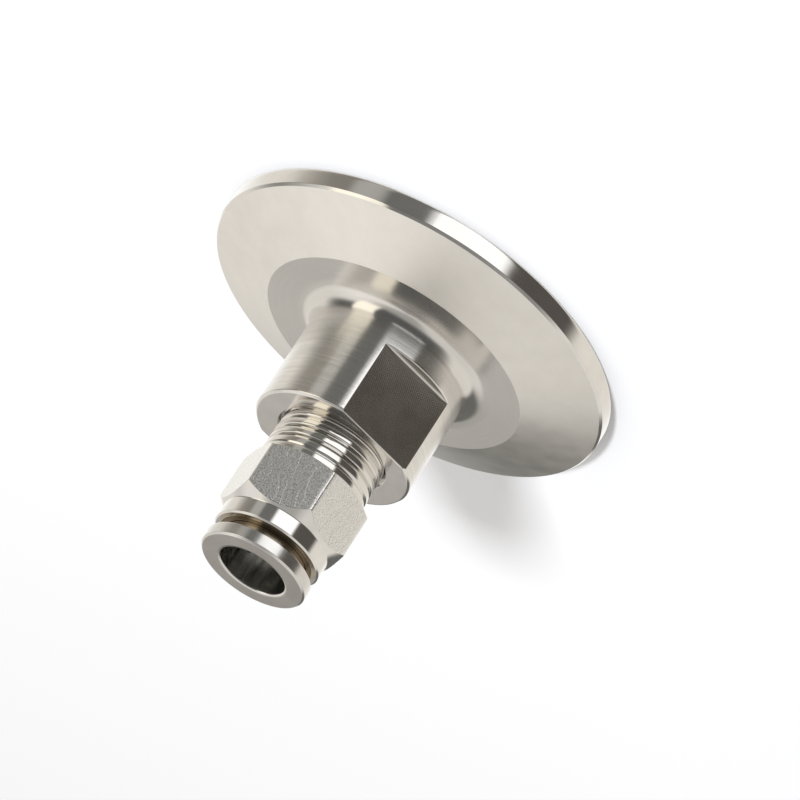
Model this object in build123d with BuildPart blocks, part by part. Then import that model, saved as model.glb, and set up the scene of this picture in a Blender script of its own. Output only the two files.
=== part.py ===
from build123d import *
import os
from math import cos, radians, sin, tan

# Push-in tube fitting screwed into a sanitary clamp ferrule.
# The origin is the centre of the ferrule's sealing face. +Z runs along the common axis to the
# push-in end, and the ferrule's two wrench flats face +Y and -Y. Lengths are millimetres.

# Ferrule: clamp flange and hub, turned from one bar
flange_diameter = 50.5
rim_height = 2.5
cone_angle = 20.0
shoulder_diameter = 33.0
neck_width = 1.3
hub_diameter = 20.0
hub_height = 20.0
hub_chamfer = 0.4
flats_across = 17.0
flats_length = 10.0
flat_edge_break = 0.15
gasket_groove_land = 1.7
gasket_groove_width = 3.5
gasket_groove_depth = 1.6
process_bore_diameter = 10.0

# Pipe thread, 1/4 inch: its major diameter at the gauge plane, which is the hub's front. The
# fitting's thread is tapered and the ferrule's tapped hole is parallel.
thread_diameter = 13.157
thread_taper = 1 / 16
thread_engaged_length = 6.0
thread_exposed_length = 5.23
thread_clearance = 0.02
tapped_depth = 9.5
thread_mouth_width = 0.42
thread_mouth_depth = 0.55

# Tube and what grips, seals and stops it
tube_diameter = 8.0
socket_clearance = 0.06
socket_length = 6.5
flow_bore_diameter = 6.2
seal_height = 1.7
seal_squeeze = 0.25
seal_clearance = 0.02
seal_play = 0.1
seal_seat_width = 1.8
claw_thickness = 0.3
claw_count = 8
claw_slot_width = 0.8
claw_bite = 0.15
claw_angle = 47.5
claw_room = 0.7
claw_rim_clearance = 0.05
press_clearance = 0.01

# Fitting body
collar_wall = 0.84
collar_length = 2.17
collar_chamfer = 0.2
hex_wall = 1.14
hex_length = 7.6
hex_thread_side_angle = 30.0
hex_collar_side_angle = 47.0
hex_turn = 41.1

# Release ring and the guide ring that holds it in the body
release_travel = 1.2
release_end_gap = 0.2
release_flange_diameter = 13.3
release_flange_thickness = 1.7
release_front_chamfer = 0.22
release_mouth_chamfer = 0.3
release_bore_clearance = 0.17
sleeve_wall = 0.93
sleeve_clearance = 0.07
snap_lip_height = 0.6
snap_lip_reach = 0.25
snap_lip_clearance = 0.05
nose_wall = 0.68
nose_tip_wall = 0.33
nose_cone_length = 0.6
nose_gap = 0.14
nose_side_clearance = 0.1
sleeve_slot_count = 4
sleeve_slot_width = 0.8
sleeve_slot_cover = 0.4
guide_land = 1.6

# Radii that the fits give, from the tube outward
tube_radius = tube_diameter / 2
socket_radius = tube_radius + socket_clearance
seal_inner_radius = tube_radius - seal_squeeze
body_bore_radius = socket_radius + seal_seat_width
seal_outer_radius = body_bore_radius - seal_clearance
guide_radius = body_bore_radius - press_clearance
collar_radius = body_bore_radius + collar_wall
hex_across = 2 * (body_bore_radius + hex_wall)
release_bore_radius = tube_radius + release_bore_clearance
sleeve_radius = release_bore_radius + sleeve_wall
guide_bore_radius = sleeve_radius + sleeve_clearance
snap_lip_radius = sleeve_radius + snap_lip_reach
guide_recess_radius = snap_lip_radius + sleeve_clearance
nose_radius = release_bore_radius + nose_wall
nose_tip_radius = release_bore_radius + nose_tip_wall
claw_root_radius = nose_radius + nose_side_clearance
claw_tip_radius = tube_radius - claw_bite
claw_slope = tan(radians(claw_angle))
claw_bend_edge = claw_root_radius - claw_thickness * tan(radians(claw_angle) / 2)
claw_drop = (claw_root_radius - claw_tip_radius) * claw_slope

# Heights above the sealing face, from the hub to the mouth and back down the bore
hex_back = hub_height + thread_exposed_length
hex_front = hex_back + hex_length
mouth = hex_front + collar_length
guide_shoulder = mouth - guide_land
snap_lip_top = guide_shoulder - snap_lip_clearance
snap_lip_bottom = snap_lip_top - snap_lip_height
claw_top = snap_lip_bottom - release_travel - 3 * snap_lip_clearance
claw_bottom = claw_top - claw_thickness
spacer_bottom = claw_bottom - claw_drop - claw_room
seal_top = spacer_bottom - seal_play
seal_floor = seal_top - seal_height
tube_stop = seal_floor - socket_length
thread_end = hub_height - thread_engaged_length
release_back = mouth + release_end_gap + release_travel
release_front = release_back + release_flange_thickness
nose_tip = claw_top - (claw_bend_edge - nose_tip_radius) * claw_slope + nose_gap


def thread_radius(height):
    """The thread's major radius at a height: it grows with the taper away from the ferrule."""
    return thread_diameter / 2 + (height - hub_height) * thread_taper / 2


# Clamp ferrule: rim, 20 degree clamping cone, flat shoulder, neck and hub in one profile
rim_radius = flange_diameter / 2
shoulder_radius = shoulder_diameter / 2
shoulder_height = rim_height + (rim_radius - shoulder_radius) * tan(radians(cone_angle))
hub_radius = hub_diameter / 2
process_bore_radius = process_bore_diameter / 2
tapped_radius = thread_radius(hub_height) + thread_clearance
tapped_bottom = hub_height - tapped_depth
groove_outer_radius = rim_radius - gasket_groove_land
groove_inner_radius = groove_outer_radius - gasket_groove_width

with BuildPart() as clamp_ferrule:
    with BuildSketch(Plane.XZ):
        with BuildLine():
            Polyline(
                (process_bore_radius, 0),
                (process_bore_radius, tapped_bottom),
                (tapped_radius, tapped_bottom),
                (tapped_radius, hub_height - thread_mouth_depth),
                (tapped_radius + thread_mouth_width, hub_height),
                (hub_radius - hub_chamfer, hub_height),
                (hub_radius, hub_height - hub_chamfer),
                (hub_radius, shoulder_height),
                (shoulder_radius, shoulder_height),
                (rim_radius, rim_height),
                (rim_radius, 0),
                (groove_outer_radius, 0),
                (groove_outer_radius, gasket_groove_depth),
                (groove_inner_radius, gasket_groove_depth),
                (groove_inner_radius, 0),
                close=True,
            )
        make_face()
        chamfer(vertices().sort_by_distance((hub_radius, shoulder_height))[0], neck_width)
    revolve(axis=Axis.Z)
    with BuildSketch(Plane.XY.offset(hub_height - flats_length)):
        with Locations((0, hub_radius), (0, -hub_radius)):
            Rectangle(hub_diameter, hub_diameter - flats_across)
    extrude(amount=flats_length, mode=Mode.SUBTRACT)
    flats = clamp_ferrule.faces().filter_by(Axis.Y)
    chamfer(flats.edges().group_by(Axis.Z)[1:], flat_edge_break)
clamp_ferrule.part.label = "clamp_ferrule"

# Fitting body: taper thread, hexagon turned down at both ends, round collar and the stepped bore
hex_corner_radius = hex_across / 2 / cos(radians(30))
turned_radius = 1.02 * hex_corner_radius
hex_back_radius = thread_radius(hex_back)
hex_back_rise = (turned_radius - hex_back_radius) * tan(radians(hex_thread_side_angle))
hex_front_fall = (turned_radius - collar_radius) * tan(radians(hex_collar_side_angle))
flow_bore_radius = flow_bore_diameter / 2

with BuildPart() as fitting_body:
    with BuildSketch(Plane.XY.offset(hex_back)):
        RegularPolygon(hex_across / 2, 6, major_radius=False, rotation=hex_turn)
    extrude(amount=hex_length)
    with BuildSketch(Plane.XZ):
        with BuildLine():
            Polyline(
                (0, hex_back),
                (hex_back_radius, hex_back),
                (turned_radius, hex_back + hex_back_rise),
                (turned_radius, hex_front - hex_front_fall),
                (collar_radius, hex_front),
                (0, hex_front),
                close=True,
            )
        make_face()
    revolve(axis=Axis.Z, mode=Mode.INTERSECT)
    with BuildSketch(Plane.XZ):
        with BuildLine():
            Polyline(
                (0, thread_end),
                (thread_radius(thread_end), thread_end),
                (hex_back_radius, hex_back),
                (collar_radius, hex_front),
                (collar_radius, mouth - collar_chamfer),
                (collar_radius - collar_chamfer, mouth),
                (0, mouth),
                close=True,
            )
        make_face()
    revolve(axis=Axis.Z)
    with BuildSketch(Plane.XZ):
        with BuildLine():
            Polyline(
                (0, thread_end),
                (flow_bore_radius, thread_end),
                (flow_bore_radius, tube_stop),
                (socket_radius, tube_stop),
                (socket_radius, seal_floor),
                (body_bore_radius, seal_floor),
                (body_bore_radius, mouth),
                (0, mouth),
                close=True,
            )
        make_face()
    revolve(axis=Axis.Z, mode=Mode.SUBTRACT)
fitting_body.part.label = "fitting_body"

# Tube seal: a square-cut ring on the bore's shoulder, with its inner edge inside the tube's radius
with BuildPart() as tube_seal:
    with BuildSketch(Plane.XY.offset(seal_floor)):
        Circle(seal_outer_radius)
        Circle(seal_inner_radius, mode=Mode.SUBTRACT)
    extrude(amount=seal_height)
tube_seal.part.label = "tube_seal"

# Seal spacer: pressed into the bore, it keeps the seal down, carries the claw's rim and leaves the
# claw's tongues room to bend
with BuildPart() as seal_spacer:
    with BuildSketch(Plane.XY.offset(spacer_bottom)):
        Circle(guide_radius)
        Circle(claw_root_radius, mode=Mode.SUBTRACT)
    extrude(amount=claw_bottom - spacer_bottom)
seal_spacer.part.label = "seal_spacer"

# Lock claw: one stamped ring of spring sheet, its tongues bent inward and down so that they bite
# when the tube is pulled. The section is the sheet's bent middle line, given its thickness.
claw_middle = claw_bottom + claw_thickness / 2
claw_bend_middle = (claw_root_radius + claw_bend_edge) / 2
claw_end_radius = claw_tip_radius + claw_thickness / 2 * sin(radians(claw_angle))
claw_end_height = claw_middle - (claw_bend_middle - claw_end_radius) * claw_slope

with BuildPart() as lock_claw:
    with BuildSketch(Plane.XZ):
        with BuildLine():
            Polyline(
                (body_bore_radius - claw_rim_clearance, claw_middle),
                (claw_bend_middle, claw_middle),
                (claw_end_radius, claw_end_height),
            )
        trace(line_width=claw_thickness)
    revolve(axis=Axis.Z)
    with BuildSketch(Plane.XY.offset(claw_top)):
        with PolarLocations(claw_root_radius / 2, claw_count):
            Rectangle(claw_root_radius + claw_slot_width / 2, claw_slot_width)
    extrude(amount=claw_end_height - claw_top - claw_thickness, mode=Mode.SUBTRACT)
lock_claw.part.label = "lock_claw"

# Guide ring: pressed into the collar, it holds down the claw and guides the release ring. Its
# recess takes the snap lip, and its shoulder stops the release ring from coming out.
with BuildPart() as guide_ring:
    with BuildSketch(Plane.XZ):
        with BuildLine():
            Polyline(
                (guide_recess_radius, claw_top),
                (guide_radius, claw_top),
                (guide_radius, mouth),
                (guide_bore_radius, mouth),
                (guide_bore_radius, guide_shoulder),
                (guide_recess_radius, guide_shoulder),
                close=True,
            )
        make_face()
    revolve(axis=Axis.Z)
guide_ring.part.label = "guide_ring"

# Release ring: finger flange, sleeve, snap lip and cone nose. The slots let the lip spring in past
# the guide ring, and the nose spreads the claw's tongues when the flange is pushed.
release_radius = release_flange_diameter / 2

with BuildPart() as release_ring:
    with BuildSketch(Plane.XZ):
        with BuildLine():
            Polyline(
                (release_bore_radius, nose_tip),
                (nose_tip_radius, nose_tip),
                (nose_radius, nose_tip + nose_cone_length),
                (nose_radius, snap_lip_bottom),
                (snap_lip_radius, snap_lip_bottom),
                (snap_lip_radius, snap_lip_top),
                (sleeve_radius, snap_lip_top),
                (sleeve_radius, release_back),
                (release_radius, release_back),
                (release_radius, release_front - release_front_chamfer),
                (release_radius - release_front_chamfer, release_front),
                (release_bore_radius + release_mouth_chamfer, release_front),
                (release_bore_radius, release_front - release_mouth_chamfer),
                close=True,
            )
        make_face()
    revolve(axis=Axis.Z)
    with BuildSketch(Plane.XY.offset(nose_tip)):
        with PolarLocations(snap_lip_radius, sleeve_slot_count):
            Rectangle(2 * snap_lip_radius, sleeve_slot_width)
    extrude(amount=mouth - sleeve_slot_cover - nose_tip, mode=Mode.SUBTRACT)
release_ring.part.label = "release_ring"

os.makedirs("parts", exist_ok=True)
for piece in (clamp_ferrule, fitting_body, tube_seal, seal_spacer, lock_claw, guide_ring, release_ring):
    export_step(piece.part, f"parts/{piece.part.label}.step")
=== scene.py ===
from math import acos, ceil, cos, degrees, hypot, pi, radians, sin, tan

import bmesh
import bpy
from mathutils import Matrix, Vector


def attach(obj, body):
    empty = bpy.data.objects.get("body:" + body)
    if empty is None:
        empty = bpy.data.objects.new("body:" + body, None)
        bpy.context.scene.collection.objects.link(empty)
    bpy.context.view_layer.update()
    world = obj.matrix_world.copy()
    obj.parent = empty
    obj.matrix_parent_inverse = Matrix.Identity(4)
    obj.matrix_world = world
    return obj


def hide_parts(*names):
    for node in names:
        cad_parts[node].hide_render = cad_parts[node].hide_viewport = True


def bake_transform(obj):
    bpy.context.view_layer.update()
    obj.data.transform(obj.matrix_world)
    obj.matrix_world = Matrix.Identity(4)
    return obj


# Push-in tube fitting in a clamp ferrule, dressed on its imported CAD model. Sizes are millimetres up
# to mesh_object, which writes metres. The frame is the CAD's: +Z along the axis to the push-in end.
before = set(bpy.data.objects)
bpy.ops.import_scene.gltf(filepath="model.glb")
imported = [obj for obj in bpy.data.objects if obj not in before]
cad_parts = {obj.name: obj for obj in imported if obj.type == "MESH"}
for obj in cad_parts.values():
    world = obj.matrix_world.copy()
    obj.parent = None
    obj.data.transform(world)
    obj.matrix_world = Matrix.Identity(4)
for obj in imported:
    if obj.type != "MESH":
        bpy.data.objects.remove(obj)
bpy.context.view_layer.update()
MM = 0.001

# Edges that the CAD model keeps sharp are broken this much
FINE_EDGE = 0.05
MACHINED_EDGE = 0.15

# Meshing of rounded corners, angles in degrees
ARC_STEPS = 4
LARGE_ROUND = 1.0
LARGE_ROUND_STEPS = 12
SAME_PLACE = 1e-6
NEARLY_STRAIGHT = 89.5
MOST_OF_EDGE_ROUNDED = 0.45
MOST_OF_EDGE_SUPPORTED = 0.48
SUPPORT_GAP = 0.02
SHARP_ANGLE = 40
MERGE_METRES = 2e-7
DEGENERATE_METRES = 1e-8

# Ferrule
RIM_RADIUS = 25.25
RIM_HEIGHT = 2.5
RIM_CHAMFER = 0.25
RIM_FRONT_ROUND = 0.3
CONE_ANGLE = 20.0
SHOULDER_RADIUS = 16.5
SHOULDER_HEIGHT = RIM_HEIGHT + (RIM_RADIUS - SHOULDER_RADIUS) * tan(radians(CONE_ANGLE))
NECK_ROUND = 2.0
NECK_TOP = SHOULDER_HEIGHT + NECK_ROUND
HUB_RADIUS = 10.0
HUB_HEIGHT = 20.0
HUB_CHAMFER = 0.25
FLAT_DISTANCE = 8.5
FLAT_BOTTOM = 10.0
FLAT_STEP_ROUND = 0.25
FLAT_EDGE_BLEND = 0.12
FLAT_SEARCH = 6
GROOVE_OUTER = 23.55
GROOVE_INNER = 20.05
GROOVE_DEPTH = 1.6
GROOVE_LIP_ROUND = 0.3
GROOVE_FLOOR_ROUND = 0.8
PROCESS_BORE = 5.0
TAPPED_RADIUS = 6.5985
TAPPED_BOTTOM = 10.5
THREAD_MOUTH_WIDTH = 0.42
THREAD_MOUTH_DEPTH = 0.55

# Body. THREAD_SHARES are the shares of the pitch, from crest to root, at which the thread has points
THREAD_END = 14.0
THREAD_GAUGE_RADIUS = 6.5785
THREAD_TAPER = 1 / 32
THREAD_PITCH = 1.337
THREAD_DEPTH = 0.45
THREAD_FLANK = 27.5
THREAD_SHARES = [0, 0.08, 0.15, 0.21, 0.25, 0.27, 0.285, 0.3, 0.315, 0.33, 0.345, 0.375, 0.405, 0.43,
                 0.455, 0.48]
CREST_HALF_WIDTH = 0.39
CREST_CROWN = 0.03
CREST_BLEND = 0.14
ROOT_BLEND = 0.2
THREAD_START_CHAMFER = 0.6
RUN_OUT_START = 23.9
RUN_OUT_END = 24.75
HEX_BACK = 25.23
HEX_FRONT = 32.83
HEX_HALF = 7.0
HEX_CORNER = 8.06
HEX_TURN = 11.1
HEX_EDGE_BLEND = 0.14
HEX_BACK_ANGLE = 30.0
HEX_FRONT_ANGLE = 47.0
COLLAR_RADIUS = 6.7
COLLAR_CHAMFER = 0.2
MOUTH = 35.0
BODY_BORE = 5.86
SEAL_FLOOR = 27.4
SOCKET_RADIUS = 4.06
TUBE_STOP = 20.9
FLOW_BORE = 3.1

# Release ring
RING_RADIUS = 6.65
RING_BACK = 36.4
RING_FRONT = 38.1
RING_CHAMFER = 0.22
RING_MOUTH_ROUND = 0.2
RING_BORE = 4.17
SLEEVE_RADIUS = 5.1
SLEEVE_ROUND = 0.1
SNAP_LIP_RADIUS = 5.35
SNAP_LIP_BOTTOM = 32.75
SNAP_LIP_TOP = 33.35
SNAP_LIP_ROUND = 0.08
NOSE_RADIUS = 4.85
NOSE_TIP_RADIUS = 4.5
NOSE_TIP = 31.19
NOSE_CONE = 0.6
NOSE_EDGE = 0.03
SLOT_WIDTH = 0.8
SLOT_TOP = 34.6
CUTTER_LENGTH = 16
CUTTER_EXCESS = 2

# Finishes
MILLING_PITCH = 0.26
MILLING_TURNS = (32, 122)
MILLING_DEPTH = 2.5
SCRATCH_WIDTH = 0.03
SCRATCH_LEVEL = 0.56
SCRATCH_STRETCH = 0.05
MARK_DRIFT = 0.05

# Choice of faces for a finish: slack in millimetres, and how far a normal points along an axis
ON_SURFACE = 0.01
NEAR_EDGE = 0.1
FACES_ALONG = 0.99
FACES_SQUARE = 0.995
FACES_LEVEL = 0.02
BORE_START = 0.2
THREAD_INSIDE = 4.1
RING_BORE_EDGE = 0.05
RING_BORE_SLACK = 0.02
RING_MOUTH_DEPTH = 0.4

FLOOR_COLOUR = (0.875, 0.887, 0.922)
LAMP_COLOUR = (0.97, 0.985, 1.0)


# Meshes
def thread_radius(height):
    return THREAD_GAUGE_RADIUS + (height - HUB_HEIGHT) * THREAD_TAPER


def soft_min(a, b, blend):
    """The smaller of two distances, with the edge between them broken over that blend."""
    share = max(blend - abs(a - b), 0) / blend
    return min(a, b) - share * share * blend / 4


def rounded_corner(before, here, after, rounding):
    """The points of one corner: its arc, between two supports that keep the straight runs flat."""
    steps = ARC_STEPS if rounding < LARGE_ROUND else LARGE_ROUND_STEPS
    to_before, to_after = before - here, after - here
    back, forward = to_before.normalized(), to_after.normalized()
    half_angle = to_before.angle(to_after) / 2
    reach = min(to_before.length, to_after.length) * MOST_OF_EDGE_ROUNDED
    straight = half_angle >= radians(NEARLY_STRAIGHT)
    tangent = 0 if straight else min(rounding / tan(half_angle), reach)
    support = 2 * tangent + SUPPORT_GAP
    first = here + back * min(support, MOST_OF_EDGE_SUPPORTED * to_before.length)
    last = here + forward * min(support, MOST_OF_EDGE_SUPPORTED * to_after.length)
    if tangent < SAME_PLACE:
        return [first] + [here] * (steps + 1) + [last]
    centre = here + (back + forward).normalized() * (tangent / cos(half_angle))
    start, end = here + back * tangent - centre, here + forward * tangent - centre
    radius = start.length
    return [first, *(centre + start.slerp(end, k / steps) * radius for k in range(steps + 1)), last]


def soften(corners):
    """The points of a closed section whose corners (radius, height, rounding) are rounded. Each
    corner gives the same number of points, so that sections at different angles match. Of two
    corners in one place, only the second is rounded."""
    places = [Vector((r, z)) for r, z, rounding in corners]
    count = len(places)

    def neighbour(i, step):
        """The next corner that way which lies in another place."""
        k = i + step
        while (places[k % count] - places[i]).length <= SAME_PLACE:
            k += step
        return places[k % count]

    points = []
    for i, (r, z, rounding) in enumerate(corners):
        corner = rounded_corner(neighbour(i, -1), places[i], neighbour(i, 1), rounding)
        twin_follows = (places[(i + 1) % count] - places[i]).length <= SAME_PLACE
        points += corner[:1] * len(corner) if twin_follows else corner
    return points


def mesh_object(name, skins):
    """One closed mesh from skins. Each is a list of rings of points, whether each ring is closed,
    and whether the last ring joins the first."""
    mesh = bmesh.new()
    for rings, ring_closed, skin_closed in skins:
        made = [[mesh.verts.new(Vector(p) * MM) for p in ring] for ring in rings]
        width = len(made[0]) if ring_closed else len(made[0]) - 1
        for lower, upper in zip(made, made[1:] + made[:1] if skin_closed else made[1:]):
            for j in range(width):
                k = (j + 1) % len(lower)
                mesh.faces.new((lower[j], lower[k], upper[k], upper[j]))
    bmesh.ops.remove_doubles(mesh, verts=mesh.verts, dist=MERGE_METRES)
    bmesh.ops.dissolve_degenerate(mesh, edges=mesh.edges, dist=DEGENERATE_METRES)
    bmesh.ops.recalc_face_normals(mesh, faces=mesh.faces)
    obj = linked_object(name, mesh)
    obj.data.polygons.foreach_set("use_smooth", [True] * len(obj.data.polygons))
    obj.data.set_sharp_from_angle(angle=radians(SHARP_ANGLE))
    return obj


def linked_object(name, mesh):
    """An object in the scene with what was made in a bmesh, which it frees."""
    data = bpy.data.meshes.new(name)
    mesh.to_mesh(data)
    mesh.free()
    obj = bpy.data.objects.new(name, data)
    bpy.context.collection.objects.link(obj)
    return obj


def around(angle, point):
    return (point[0] * cos(angle), point[0] * sin(angle), point[1])


def angles_with_detail(steps, edges=(), reach=1.0, fine=1):
    """Angles round the axis: even steps, with finer ones near the given edges."""
    angles = {round(360 / steps * k, 4) for k in range(steps)}
    for edge in edges:
        angles |= {round((edge + reach * k / fine) % 360, 4) for k in range(-fine, fine + 1)}
    return [radians(a) for a in sorted(angles)]


def ferrule():
    """Clamp flange and hub: groove, rim, clamping cone, shoulder, rounded neck, flats and mouth of
    the tapped hole."""
    flat_half_angle = degrees(acos(FLAT_DISTANCE / HUB_RADIUS))
    edges = [side + turn * flat_half_angle for side in (90, 270) for turn in (-1, 1)]
    rim_corner = RIM_RADIUS - RIM_CHAMFER
    rim_corner_height = RIM_HEIGHT + RIM_CHAMFER * tan(radians(CONE_ANGLE))

    def hub_reach(angle):
        """The hub's radius at that angle: round, or up to a flat."""
        across = abs(sin(angle))
        if across * HUB_RADIUS <= FLAT_SEARCH:
            return HUB_RADIUS
        return soft_min(HUB_RADIUS, FLAT_DISTANCE / across, FLAT_EDGE_BLEND)

    def section(angle):
        flat = hub_reach(angle)
        face_edge = min(flat, HUB_RADIUS - HUB_CHAMFER)
        flat_top = HUB_HEIGHT - max(flat - face_edge, 0)
        return soften([
            (PROCESS_BORE, 0, MACHINED_EDGE),
            (GROOVE_INNER, 0, GROOVE_LIP_ROUND),
            (GROOVE_INNER, GROOVE_DEPTH, GROOVE_FLOOR_ROUND),
            (GROOVE_OUTER, GROOVE_DEPTH, GROOVE_FLOOR_ROUND),
            (GROOVE_OUTER, 0, GROOVE_LIP_ROUND),
            (RIM_RADIUS, 0, RIM_FRONT_ROUND),
            (RIM_RADIUS, RIM_HEIGHT - RIM_CHAMFER, FINE_EDGE),
            (rim_corner, rim_corner_height, FINE_EDGE),
            (SHOULDER_RADIUS, SHOULDER_HEIGHT, MACHINED_EDGE),
            (HUB_RADIUS, SHOULDER_HEIGHT, NECK_ROUND),
            (HUB_RADIUS, FLAT_BOTTOM, MACHINED_EDGE),
            (flat, FLAT_BOTTOM, FLAT_STEP_ROUND),
            (flat, flat_top, MACHINED_EDGE),
            (face_edge, HUB_HEIGHT, MACHINED_EDGE),
            (TAPPED_RADIUS + THREAD_MOUTH_WIDTH, HUB_HEIGHT, FINE_EDGE),
            (TAPPED_RADIUS, HUB_HEIGHT - THREAD_MOUTH_DEPTH, FINE_EDGE),
            (TAPPED_RADIUS, TAPPED_BOTTOM, FINE_EDGE),
            (PROCESS_BORE, TAPPED_BOTTOM, FINE_EDGE),
        ])

    angles = angles_with_detail(216, edges, reach=1.6, fine=4)
    rings = list(zip(*[[around(a, p) for p in section(a)] for a in angles]))
    return mesh_object("ferrule", [(rings, True, True)])


def thread_fall(share):
    """How far the thread's surface lies below the middle of its crest, at a share of the pitch
    from there."""
    along = min(share, 1 - share) * THREAD_PITCH
    crown = CREST_CROWN * min(along / CREST_HALF_WIDTH, 1) ** 2
    flank = (along - CREST_HALF_WIDTH) / tan(radians(THREAD_FLANK))
    return crown + soft_min(THREAD_DEPTH, -soft_min(0, -flank, CREST_BLEND), ROOT_BLEND)


def thread_rings(angles):
    """The taper thread as rings that climb one pitch in a turn, cut off level at both ends."""
    shares = THREAD_SHARES + [0.5] + [1 - share for share in THREAD_SHARES[:0:-1]]
    turns = ceil((HEX_BACK - THREAD_END) / THREAD_PITCH) + 1
    rings = []
    for turn in range(-1, turns + 1):
        for share in shares:
            ring = []
            for angle in angles + [2 * pi + angles[0]]:
                height = THREAD_END + (turn + share + angle / (2 * pi)) * THREAD_PITCH
                height = min(max(height, THREAD_END), HEX_BACK)
                shift = (height - THREAD_END) / THREAD_PITCH - angle / (2 * pi)
                faded = min(max((RUN_OUT_END - height) / (RUN_OUT_END - RUN_OUT_START), 0), 1)
                radius = thread_radius(height) - thread_fall(shift % 1) * faded
                start = thread_radius(THREAD_END) - THREAD_START_CHAMFER + (height - THREAD_END)
                ring.append(around(angle, (min(radius, start), height)))
            rings.append(ring)
    return rings


def body():
    """Fitting body: taper thread, hexagon turned down at both ends, collar and stepped bore."""
    edges = [HEX_TURN + 30 + 60 * k for k in range(6)]
    back = thread_radius(HEX_BACK)
    back_slope, front_slope = tan(radians(HEX_BACK_ANGLE)), tan(radians(HEX_FRONT_ANGLE))

    def hex_radius(angle):
        turn = (degrees(angle) - HEX_TURN + 30) % 60 - 30
        return soft_min(HEX_CORNER, HEX_HALF / cos(radians(turn)), HEX_EDGE_BLEND)

    def section(angle):
        across = hex_radius(angle)
        return soften([
            (back, HEX_BACK, 0),
            (across, HEX_BACK + (across - back) * back_slope, FINE_EDGE),
            (across, HEX_FRONT - (across - COLLAR_RADIUS) * front_slope, FINE_EDGE),
            (COLLAR_RADIUS, HEX_FRONT, MACHINED_EDGE),
            (COLLAR_RADIUS, MOUTH - COLLAR_CHAMFER, FINE_EDGE),
            (COLLAR_RADIUS - COLLAR_CHAMFER, MOUTH, FINE_EDGE),
            (BODY_BORE, MOUTH, FINE_EDGE),
            (BODY_BORE, SEAL_FLOOR, FINE_EDGE),
            (SOCKET_RADIUS, SEAL_FLOOR, FINE_EDGE),
            (SOCKET_RADIUS, TUBE_STOP, FINE_EDGE),
            (FLOW_BORE, TUBE_STOP, FINE_EDGE),
            (FLOW_BORE, THREAD_END, MACHINED_EDGE),
            (thread_radius(THREAD_END) - THREAD_START_CHAMFER, THREAD_END, 0),
        ])

    angles = angles_with_detail(180, edges, reach=1.2, fine=3)
    rings = list(zip(*[[around(a, p) for p in section(a)[1:-1]] for a in angles]))
    return mesh_object("body", [(rings, True, False), (thread_rings(angles), False, False)])


def slot_cutter():
    """Two crossing bars, as wide as the slots."""
    mesh = bmesh.new()
    depth = SLOT_TOP - NOSE_TIP + CUTTER_EXCESS
    for turn in (0, 90):
        made = bmesh.ops.create_cube(mesh, size=MM)["verts"]
        bmesh.ops.scale(mesh, vec=(CUTTER_LENGTH, SLOT_WIDTH, depth), verts=made)
        bmesh.ops.rotate(mesh, matrix=Matrix.Rotation(radians(turn), 3, "Z"), verts=made)
        bmesh.ops.translate(mesh, vec=(0, 0, (SLOT_TOP - depth / 2) * MM), verts=made)
    return linked_object("slot_cutter", mesh)


def cut_slots(obj):
    """Saws two crossing slots through the sleeve, from its nose up."""
    cutter = slot_cutter()
    cut = obj.modifiers.new("slots", "BOOLEAN")
    cut.operation = "DIFFERENCE"
    cut.solver = "EXACT"
    cut.use_self = True
    cut.object = cutter
    depsgraph = bpy.context.evaluated_depsgraph_get()
    result = bpy.data.meshes.new_from_object(obj.evaluated_get(depsgraph))
    obj.modifiers.clear()
    obj.data = result
    obj.data.set_sharp_from_angle(angle=radians(SHARP_ANGLE))
    bpy.data.objects.remove(cutter)


def ring():
    """Release ring: finger flange, sleeve with its sawn slots, snap lip and cone nose."""
    section = soften([
        (RING_BORE, NOSE_TIP, NOSE_EDGE),
        (NOSE_TIP_RADIUS, NOSE_TIP, NOSE_EDGE),
        (NOSE_RADIUS, NOSE_TIP + NOSE_CONE, NOSE_EDGE),
        (NOSE_RADIUS, SNAP_LIP_BOTTOM, NOSE_EDGE),
        (SNAP_LIP_RADIUS, SNAP_LIP_BOTTOM, SNAP_LIP_ROUND),
        (SNAP_LIP_RADIUS, SNAP_LIP_TOP, SNAP_LIP_ROUND),
        (SLEEVE_RADIUS, SNAP_LIP_TOP, NOSE_EDGE),
        (SLEEVE_RADIUS, RING_BACK, SLEEVE_ROUND),
        (RING_RADIUS, RING_BACK, MACHINED_EDGE),
        (RING_RADIUS, RING_FRONT - RING_CHAMFER, FINE_EDGE),
        (RING_RADIUS - RING_CHAMFER, RING_FRONT, FINE_EDGE),
        (RING_BORE, RING_FRONT, RING_MOUTH_ROUND),
    ])
    rings = list(zip(*[[around(a, p) for p in section] for a in angles_with_detail(160)]))
    obj = mesh_object("ring", [(rings, True, True)])
    cut_slots(obj)
    return obj


def claw():
    """A copy of the lock claw."""
    obj = bpy.data.objects.new("claw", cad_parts["lock_claw"].data.copy())
    bpy.context.collection.objects.link(obj)
    return obj


# Parts of materials
def new_material(name, metallic=1):
    material = bpy.data.materials.new(name)
    material.use_nodes = True
    nodes, links = material.node_tree.nodes, material.node_tree.links
    shader = nodes["Principled BSDF"]
    shader.inputs["Metallic"].default_value = metallic
    return material, nodes, links, shader


def math_node(nodes, links, operation, *inputs):
    node = nodes.new("ShaderNodeMath")
    node.operation = operation
    for socket, value in zip(node.inputs, inputs):
        if isinstance(value, (int, float)):
            socket.default_value = value
        else:
            links.new(value, socket)
    return node.outputs[0]


def map_range(nodes, links, value, from_range, to_range=(0, 1), smooth=False):
    node = nodes.new("ShaderNodeMapRange")
    if smooth:
        node.interpolation_type = "SMOOTHSTEP"
    for socket, bound in zip(("From Min", "From Max", "To Min", "To Max"), (*from_range, *to_range)):
        node.inputs[socket].default_value = bound
    links.new(value, node.inputs["Value"])
    return node.outputs[0]


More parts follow.
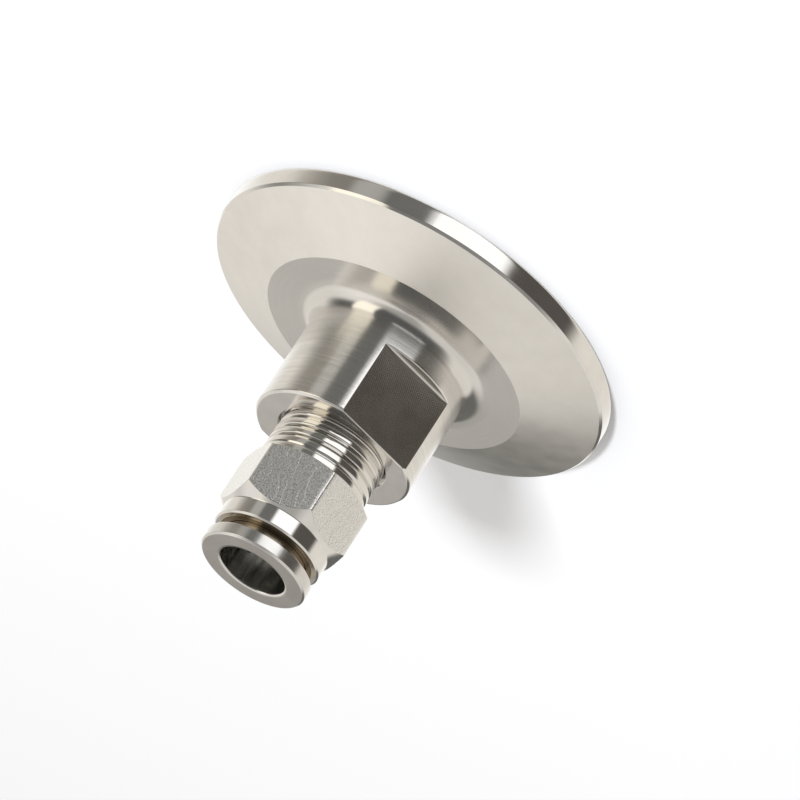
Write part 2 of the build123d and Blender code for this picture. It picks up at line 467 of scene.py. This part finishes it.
def mix_colours(nodes, links, factor, under, over):
    """Mixes two colours or colour outputs."""
    node = nodes.new("ShaderNodeMix")
    node.data_type = "RGBA"
    links.new(factor, node.inputs["Factor"])
    for socket, value in ((node.inputs["A"], under), (node.inputs["B"], over)):
        if isinstance(value, tuple):
            socket.default_value = (*value, 1)
        else:
            links.new(value, socket)
    return node.outputs["Result"]


def turned_coordinate(nodes, links, drift=0.0):
    """Distance from the axis and height along it, so that a texture forms turning marks. With drift
    the marks change on their way round."""
    place = nodes.new("ShaderNodeTexCoord")
    split = nodes.new("ShaderNodeSeparateXYZ")
    links.new(place.outputs["Object"], split.inputs[0])
    x, y, z = split.outputs
    squares = [math_node(nodes, links, "POWER", across, 2) for across in (x, y)]
    radius = math_node(nodes, links, "SQRT", math_node(nodes, links, "ADD", *squares))
    join = nodes.new("ShaderNodeCombineXYZ")
    links.new(radius, join.inputs[0])
    if drift:
        across = math_node(nodes, links, "ADD", x, y)
        links.new(math_node(nodes, links, "MULTIPLY", across, drift), join.inputs[1])
    links.new(z, join.inputs[2])
    return join.outputs[0]


def object_coordinate(nodes, links, stretch=(1, 1, 1), turn=(0, 0, 0)):
    """The place on the part, turned and then stretched, so that marks run along the turned axes."""
    place = nodes.new("ShaderNodeTexCoord")
    turned = nodes.new("ShaderNodeMapping")
    turned.inputs["Rotation"].default_value = [radians(t) for t in turn]
    stretched = nodes.new("ShaderNodeMapping")
    stretched.inputs["Scale"].default_value = stretch
    links.new(place.outputs["Object"], turned.inputs[0])
    links.new(turned.outputs[0], stretched.inputs[0])
    return stretched.outputs[0]


def noise(nodes, links, coordinate, size, detail=3.0, roughness=0.55):
    """Noise whose features are about that many millimetres across."""
    texture = nodes.new("ShaderNodeTexNoise")
    texture.inputs["Scale"].default_value = 1 / (size * MM)
    texture.inputs["Detail"].default_value = detail
    texture.inputs["Roughness"].default_value = roughness
    links.new(coordinate, texture.inputs["Vector"])
    return texture.outputs[0]


def grain_noise(nodes, links, size, detail=3.0, roughness=0.55):
    """Noise that runs no way in particular."""
    return noise(nodes, links, object_coordinate(nodes, links), size, detail, roughness)


def spread(nodes, links, value, low, high):
    """Maps noise, which lies mostly between 0.3 and 0.7, to that range."""
    return map_range(nodes, links, value, (0.3, 0.7), (low, high))


def spread_around(nodes, links, value, middle, share):
    """Maps noise to a range that reaches that share of its middle to each side."""
    return spread(nodes, links, value, middle * (1 - share), middle * (1 + share))


def tint(nodes, links, value, dark, light):
    """A colour between two, by noise."""
    return mix_colours(nodes, links, spread(nodes, links, value, 0, 1), dark, light)


def bump(nodes, links, height, depth, base=None):
    """A relief that many micrometres deep."""
    node = nodes.new("ShaderNodeBump")
    node.inputs["Strength"].default_value = 1
    node.inputs["Distance"].default_value = depth * 1e-6
    links.new(height, node.inputs["Height"])
    if base:
        links.new(base, node.inputs["Normal"])
    return node.outputs[0]


def scratches(nodes, links, size, turn):
    """1 on a few long thin lines and 0 elsewhere: the contours of a drawn-out noise."""
    place = object_coordinate(nodes, links, (1, 1, SCRATCH_STRETCH), turn)
    drawn_out = noise(nodes, links, place, size, detail=0)
    above_line = math_node(nodes, links, "SUBTRACT", drawn_out, SCRATCH_LEVEL)
    off_line = math_node(nodes, links, "ABSOLUTE", above_line)
    return map_range(nodes, links, off_line, (0, SCRATCH_WIDTH / size), (1, 0))


def draw_out(nodes, links, shader, strength):
    """Draws reflections out across the turning marks, as very fine marks round the axis do."""
    tangent = nodes.new("ShaderNodeTangent")
    tangent.direction_type = "RADIAL"
    tangent.axis = "Z"
    links.new(tangent.outputs[0], shader.inputs["Tangent"])
    shader.inputs["Anisotropic"].default_value = strength
    shader.inputs["Anisotropic Rotation"].default_value = 0.25


# Kinds of finish. Depths of marks and grain are micrometres, their sizes millimetres
def turned_steel(name, dark, light, roughness, mark_depth, grain_depth=0.0, mark_size=0.25, brushing=0.0):
    """Turned stainless steel: rings of fine tool marks, uneven polish and a little grain. Brushing
    breaks the marks into streaks and draws the reflections out across them."""
    material, nodes, links, shader = new_material(name)
    place = turned_coordinate(nodes, links, drift=MARK_DRIFT if brushing else 0)
    marks = noise(nodes, links, place, mark_size, detail=4)
    broad = grain_noise(nodes, links, 3.0)
    tone = marks if brushing else broad
    links.new(tint(nodes, links, tone, dark, light), shader.inputs["Base Color"])
    links.new(spread_around(nodes, links, broad, roughness, 0.08), shader.inputs["Roughness"])
    relief = bump(nodes, links, marks, mark_depth)
    if grain_depth:
        relief = bump(nodes, links, grain_noise(nodes, links, 0.18), grain_depth, relief)
    links.new(relief, shader.inputs["Normal"])
    if brushing:
        draw_out(nodes, links, shader, brushing)
    return material


def streaked_steel(name, dark, light, roughness):
    """Steel of a bore: light and dark axial streaks painted into the colour as reflections, matched by
    roughness and relief, over fine turning marks.
    """
    material, nodes, links, shader = new_material(name)
    place = object_coordinate(nodes, links, stretch=(1, 1, 0.02))
    streaks = noise(nodes, links, place, 1.1, roughness=0.65)
    marks = noise(nodes, links, turned_coordinate(nodes, links), 0.2)
    # Painted reflection: the streaks' light and dark base colour stands in for reflections running along
    # the bore.
    links.new(tint(nodes, links, streaks, dark, light), shader.inputs["Base Color"])
    links.new(spread_around(nodes, links, streaks, roughness, 0.3), shader.inputs["Roughness"])
    relief = bump(nodes, links, streaks, 30)
    links.new(bump(nodes, links, marks, 1.5, relief), shader.inputs["Normal"])
    return material


def milled_steel(name, dark, light, roughness):
    """Fine-milled flats: a regular grid of tiny cutter marks over an even face. A wave texture has
    20 radians to each unit of its scale."""
    material, nodes, links, shader = new_material(name)
    broad = grain_noise(nodes, links, 2.5)
    links.new(tint(nodes, links, broad, dark, light), shader.inputs["Base Color"])
    links.new(spread_around(nodes, links, broad, roughness, 0.08), shader.inputs["Roughness"])
    relief = None
    for turn in MILLING_TURNS:
        wave = nodes.new("ShaderNodeTexWave")
        wave.inputs["Scale"].default_value = 2 * pi / (20 * MILLING_PITCH * MM)
        wave.inputs["Distortion"].default_value = 1.2
        wave.inputs["Detail Scale"].default_value = 0.5
        links.new(object_coordinate(nodes, links, turn=(0, turn, 0)), wave.inputs["Vector"])
        relief = bump(nodes, links, wave.outputs["Fac"], MILLING_DEPTH, relief)
    links.new(relief, shader.inputs["Normal"])
    return material


def drawn_steel(name, dark, light, roughness):
    """Drawn bar, as on the hexagon's faces: a granular skin with a few long scratches."""
    material, nodes, links, shader = new_material(name)
    grain = grain_noise(nodes, links, 0.19, roughness=0.6)
    links.new(tint(nodes, links, grain, dark, light), shader.inputs["Base Color"])
    links.new(spread_around(nodes, links, grain, roughness, 0.18), shader.inputs["Roughness"])
    relief = bump(nodes, links, grain, 28)
    for size, turn in ((1.6, (24, 10, 0)), (2.4, (-40, 25, 0))):
        relief = bump(nodes, links, scratches(nodes, links, size, turn), -6, relief)
    links.new(relief, shader.inputs["Normal"])
    return material


def rubber():
    material, nodes, links, shader = new_material("seal_rubber", metallic=0)
    grain = grain_noise(nodes, links, 0.1)
    colour = tint(nodes, links, grain, (0.035, 0.032, 0.03), (0.06, 0.055, 0.05))
    links.new(colour, shader.inputs["Base Color"])
    links.new(spread(nodes, links, grain, 0.55, 0.7), shader.inputs["Roughness"])
    links.new(bump(nodes, links, grain, 6), shader.inputs["Normal"])
    return material


# The finishes of this part; the bore's streaks are painted reflections, the sleeve's and guide ring's
# dark tones painted shade
def polished_steel():
    return turned_steel("polished_steel", (0.73, 0.715, 0.69), (0.79, 0.775, 0.75),
                        roughness=0.10, mark_depth=0.5)


def bore_steel():
    return streaked_steel("bore_steel", (0.46, 0.46, 0.43), (0.84, 0.84, 0.80), roughness=0.22)


def hub_steel():
    return turned_steel("hub_steel", (0.70, 0.685, 0.66), (0.80, 0.785, 0.76),
                        roughness=0.19, mark_depth=8.0, mark_size=0.3, brushing=0.92)


def shoulder_steel():
    return turned_steel("shoulder_steel", (0.72, 0.70, 0.67), (0.75, 0.73, 0.70),
                        roughness=0.17, mark_depth=2.0, mark_size=0.3, brushing=0.88)


def satin_cone():
    return turned_steel("satin_cone", (0.765, 0.742, 0.70), (0.82, 0.797, 0.76),
                        roughness=0.34, mark_depth=4.0, grain_depth=1.5, mark_size=0.4)


def faced_steel():
    return turned_steel("faced_steel", (0.80, 0.77, 0.735), (0.87, 0.845, 0.81),
                        roughness=0.12, mark_depth=1.0, mark_size=0.35)


def flat_steel():
    return milled_steel("flat_steel", (0.60, 0.57, 0.53), (0.66, 0.63, 0.59), roughness=0.22)


def thread_steel():
    return turned_steel("thread_steel", (0.72, 0.70, 0.66), (0.78, 0.76, 0.73),
                        roughness=0.09, mark_depth=0.6)


def hex_steel():
    return drawn_steel("hex_steel", (0.72, 0.71, 0.69), (0.98, 0.97, 0.95), roughness=0.29)


def ring_edge_steel():
    return turned_steel("ring_edge_steel", (0.66, 0.65, 0.63), (0.78, 0.77, 0.75),
                        roughness=0.22, mark_depth=1.0, grain_depth=4.0)


def ring_face_steel():
    return turned_steel("ring_face_steel", (0.66, 0.635, 0.60), (0.72, 0.70, 0.665),
                        roughness=0.12, mark_depth=1.0, mark_size=0.35)


# Painted shade: the sleeve's dark brown colour stands in for the shade in the gap between the collar and
# the release ring.
def sleeve_painted_shade():
    return turned_steel("sleeve_painted_shade", (0.32, 0.27, 0.20), (0.42, 0.36, 0.28),
                        roughness=0.22, mark_depth=1.5)


def spring_steel():
    return turned_steel("spring_steel", (0.56, 0.56, 0.55), (0.64, 0.64, 0.63),
                        roughness=0.28, mark_depth=1.0)


# Painted shade: the guide ring's dark brown colour stands in for the shade deep in the collar's mouth.
def guide_steel():
    return turned_steel("guide_steel", (0.34, 0.29, 0.23), (0.44, 0.38, 0.31),
                        roughness=0.28, mark_depth=1.5)


def spacer_steel():
    return turned_steel("spacer_steel", (0.60, 0.59, 0.57), (0.68, 0.67, 0.65),
                        roughness=0.28, mark_depth=1.5)


# The part, dressed
def assign(obj, *choices):
    """Gives the object its materials; each face takes the last one whose test it passes."""
    obj.data.materials.clear()
    for material, test in choices:
        obj.data.materials.append(material)
    for face in obj.data.polygons:
        centre = face.center / MM
        radius = hypot(centre.x, centre.y)
        for index, (material, test) in enumerate(choices):
            if test is None or test(radius, centre.z, face.normal):
                face.material_index = index


def dressed_ferrule(polished, bore):
    def on_hub(r, z, n):
        return abs(r - HUB_RADIUS) < ON_SURFACE and z > NECK_TOP

    def on_cone(r, z, n):
        return SHOULDER_RADIUS < r < RIM_RADIUS - RIM_CHAMFER and z > GROOVE_DEPTH + ON_SURFACE

    def on_level_face(r, z, n):
        return abs(n.z) > FACES_ALONG

    def on_shoulder_or_neck(r, z, n):
        return HUB_RADIUS < r < SHOULDER_RADIUS and -ON_SURFACE <= z - SHOULDER_HEIGHT < NECK_ROUND

    def on_flat(r, z, n):
        return abs(n.y) > FACES_SQUARE and z > FLAT_BOTTOM and r > FLAT_DISTANCE - NEAR_EDGE

    def in_bore(r, z, n):
        return r < TAPPED_RADIUS + ON_SURFACE and z > BORE_START

    obj = ferrule()
    assign(obj, (polished, None), (hub_steel(), on_hub), (satin_cone(), on_cone),
           (faced_steel(), on_level_face), (shoulder_steel(), on_shoulder_or_neck),
           (flat_steel(), on_flat), (bore, in_bore))
    return obj


def dressed_body(polished, bore):
    def on_thread(r, z, n):
        return z < HEX_BACK and r > THREAD_INSIDE

    def on_hexagon(r, z, n):
        between = HEX_BACK + NEAR_EDGE < z < HEX_FRONT - NEAR_EDGE
        return between and r > HEX_HALF - NEAR_EDGE and abs(n.z) < FACES_LEVEL

    def in_bore(r, z, n):
        return r < BODY_BORE + ON_SURFACE and z < MOUTH - NEAR_EDGE

    obj = body()
    assign(obj, (polished, None), (thread_steel(), on_thread), (hex_steel(), on_hexagon),
           (bore, in_bore))
    return obj


def dressed_ring(bore):
    def on_sleeve(r, z, n):
        return z < RING_BACK + NEAR_EDGE and r > RING_BORE + RING_BORE_EDGE

    def on_front(r, z, n):
        return n.z > FACES_ALONG and z > RING_BACK

    def in_bore(r, z, n):
        return r < RING_BORE + RING_BORE_SLACK and z < RING_FRONT - RING_MOUTH_DEPTH

    obj = ring()
    assign(obj, (ring_edge_steel(), None), (sleeve_painted_shade(), on_sleeve),
           (ring_face_steel(), on_front), (bore, in_bore))
    return obj


def dressed_claw():
    obj = claw()
    assign(obj, (spring_steel(), None))
    return obj


def dress_inner_nodes():
    """The CAD nodes that stay get their finish, the guide ring a dark one with painted shade."""
    for node, material in (("guide_ring", guide_steel()), ("seal_spacer", spacer_steel()),
                           ("tube_seal", rubber())):
        assign(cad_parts[node], (material, None))


def dress():
    polished, bore = polished_steel(), bore_steel()
    shell = dressed_ferrule(polished, bore)
    fitting = dressed_body(polished, bore)
    push = dressed_ring(bore)
    tongues = dressed_claw()
    dress_inner_nodes()
    for obj, node, slot in (
        (shell, "clamp_ferrule", "ferrule_steel"),
        (fitting, "fitting_body", "body_steel"),
        (push, "release_ring", "ring_steel"),
        (tongues, "lock_claw", "spring_steel"),
    ):
        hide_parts(node)
    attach(shell, "adapter")
    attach(fitting, "adapter")
    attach(push, "release")
    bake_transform(tongues)


# Surroundings
def floor():
    """A plain white floor. The part's walls don't mirror it: in the photograph the part lies on its
    side, so that they mirror the studio round it."""
    mesh = bmesh.new()
    bmesh.ops.create_circle(mesh, cap_ends=True, segments=96, radius=4)
    obj = linked_object("floor", mesh)
    material, nodes, links, shader = new_material("floor_white", metallic=0)
    shader.inputs["Base Color"].default_value = (*FLOOR_COLOUR, 1)
    shader.inputs["Roughness"].default_value = 0.9
    shader.inputs["Specular IOR Level"].default_value = 0
    obj.data.materials.append(material)
    obj.visible_glossy = False


def view_direction(nodes, links):
    """Where a ray goes: its level heading, as a unit vector, and its height."""
    place = nodes.new("ShaderNodeTexCoord")
    split = nodes.new("ShaderNodeSeparateXYZ")
    links.new(place.outputs["Generated"], split.inputs[0])
    level = nodes.new("ShaderNodeCombineXYZ")
    links.new(split.outputs[0], level.inputs[0])
    links.new(split.outputs[1], level.inputs[1])
    unit = nodes.new("ShaderNodeVectorMath")
    unit.operation = "NORMALIZE"
    links.new(level.outputs[0], unit.inputs[0])
    return unit.outputs[0], split.outputs[2]


def sector(nodes, links, heading, azimuth, half_width, softness):
    """1 within a sector of directions round the axis and 0 outside, with soft sides."""
    dot = nodes.new("ShaderNodeVectorMath")
    dot.operation = "DOT_PRODUCT"
    dot.inputs[1].default_value = (cos(radians(azimuth)), sin(radians(azimuth)), 0)
    links.new(heading, dot.inputs[0])
    outside = cos(radians(half_width + softness))
    inside = cos(radians(max(half_width - softness, 0)))
    return map_range(nodes, links, dot.outputs["Value"], (outside, inside), smooth=True)


def studio():
    """Soft surroundings as the photograph's polished walls mirror them. Low down there is a bright
    panel between two dark ones; level with the part it is dark round the camera, with a tall warm
    window beside it; the rest is pale. All angles are degrees."""
    world = bpy.data.worlds.new("studio")
    bpy.context.scene.world = world
    world.use_nodes = True
    nodes, links = world.node_tree.nodes, world.node_tree.links
    heading, height = view_direction(nodes, links)

    def height_step(low, high):
        """0 below one elevation and 1 above another."""
        return map_range(nodes, links, height, (sin(radians(low)), sin(radians(high))), smooth=True)

    def panels(colour, *choices):
        """A colour with panels (azimuth, half width, softness, tone) laid over it in turn."""
        for azimuth, half_width, softness, tone in choices:
            inside = sector(nodes, links, heading, azimuth, half_width, softness)
            colour = mix_colours(nodes, links, inside, colour, tone)
        return colour

    low = panels((0.90, 0.86, 0.79),
                 (290, 26, 24, (1.12, 1.11, 1.08)),
                 (176, 33, 23, (0.28, 0.26, 0.23)),
                 (156, 24, 7, (0.18, 0.18, 0.17)),
                 (173, 9, 4, (0.48, 0.47, 0.44)),
                 (63, 26, 7, (0.11, 0.10, 0.09)),
                 (112, 23, 4, (1.4, 1.4, 1.4)))
    gap = mix_colours(nodes, links, height_step(12, 36), (0.13, 0.13, 0.12), (0.95, 0.92, 0.88))
    shade = mix_colours(nodes, links, height_step(18, 38), (0.16, 0.16, 0.15), (0.86, 0.83, 0.79))
    middle = panels((0.88, 0.85, 0.80),
                    (318, 27, 6, shade),
                    (204, 22, 20, gap),
                    (88, 31, 20, (0.14, 0.14, 0.13)),
                    (120, 44, 3, (0.11, 0.11, 0.11)),
                    (179, 15, 3, (1.40, 1.32, 1.14)))
    top = panels((0.80, 0.775, 0.735),
                 (250, 40, 30, (1.05, 1.02, 0.98)),
                 (135, 42, 20, (0.45, 0.44, 0.42)))
    above = mix_colours(nodes, links, height_step(34, 56), middle, top)
    colour = mix_colours(nodes, links, height_step(-14, -6), low, above)
    background = nodes["Background"]
    links.new(colour, background.inputs["Color"])
    background.inputs["Strength"].default_value = 1


def lamp(name, azimuth, elevation, distance, size, power):
    """A soft square lamp that looks at the part."""
    light = bpy.data.lights.new(name, "AREA")
    light.shape = "SQUARE"
    light.size = size
    light.energy = power
    light.color = LAMP_COLOUR
    obj = bpy.data.objects.new(name, light)
    bpy.context.collection.objects.link(obj)
    a, e = radians(azimuth), radians(elevation)
    away = Vector((cos(e) * cos(a), cos(e) * sin(a), sin(e)))
    obj.location = away * distance
    obj.rotation_euler = away.to_track_quat("Z", "Y").to_euler()
    obj.visible_glossy = False


def camera():
    """The photograph's view, which is tilted: the part lies on its side there."""
    azimuth, elevation, roll = radians(114.233), radians(26.493), radians(-147.069)
    distance = 683.083
    aim = Vector((3.186, 1.434, 10.077))
    back = Vector((cos(elevation) * cos(azimuth), cos(elevation) * sin(azimuth), sin(elevation)))
    level = Vector((0, 0, 1)).cross(back).normalized()
    upward = back.cross(level)
    right = cos(roll) * level + sin(roll) * upward
    up = back.cross(right)
    data = bpy.data.cameras.new("camera")
    data.sensor_width = 36
    data.lens = 270
    data.clip_start = 0.01
    obj = bpy.data.objects.new("camera", data)
    bpy.context.collection.objects.link(obj)
    place = Matrix((right, up, back)).transposed().to_4x4()
    place.translation = (aim + back * distance) * MM
    obj.matrix_world = place
    bpy.context.scene.camera = obj


camera()
dress()
floor()
studio()
lamp("key", azimuth=144, elevation=45, distance=1.1, size=0.18, power=9)
bpy.context.scene.view_settings.view_transform = "Standard"
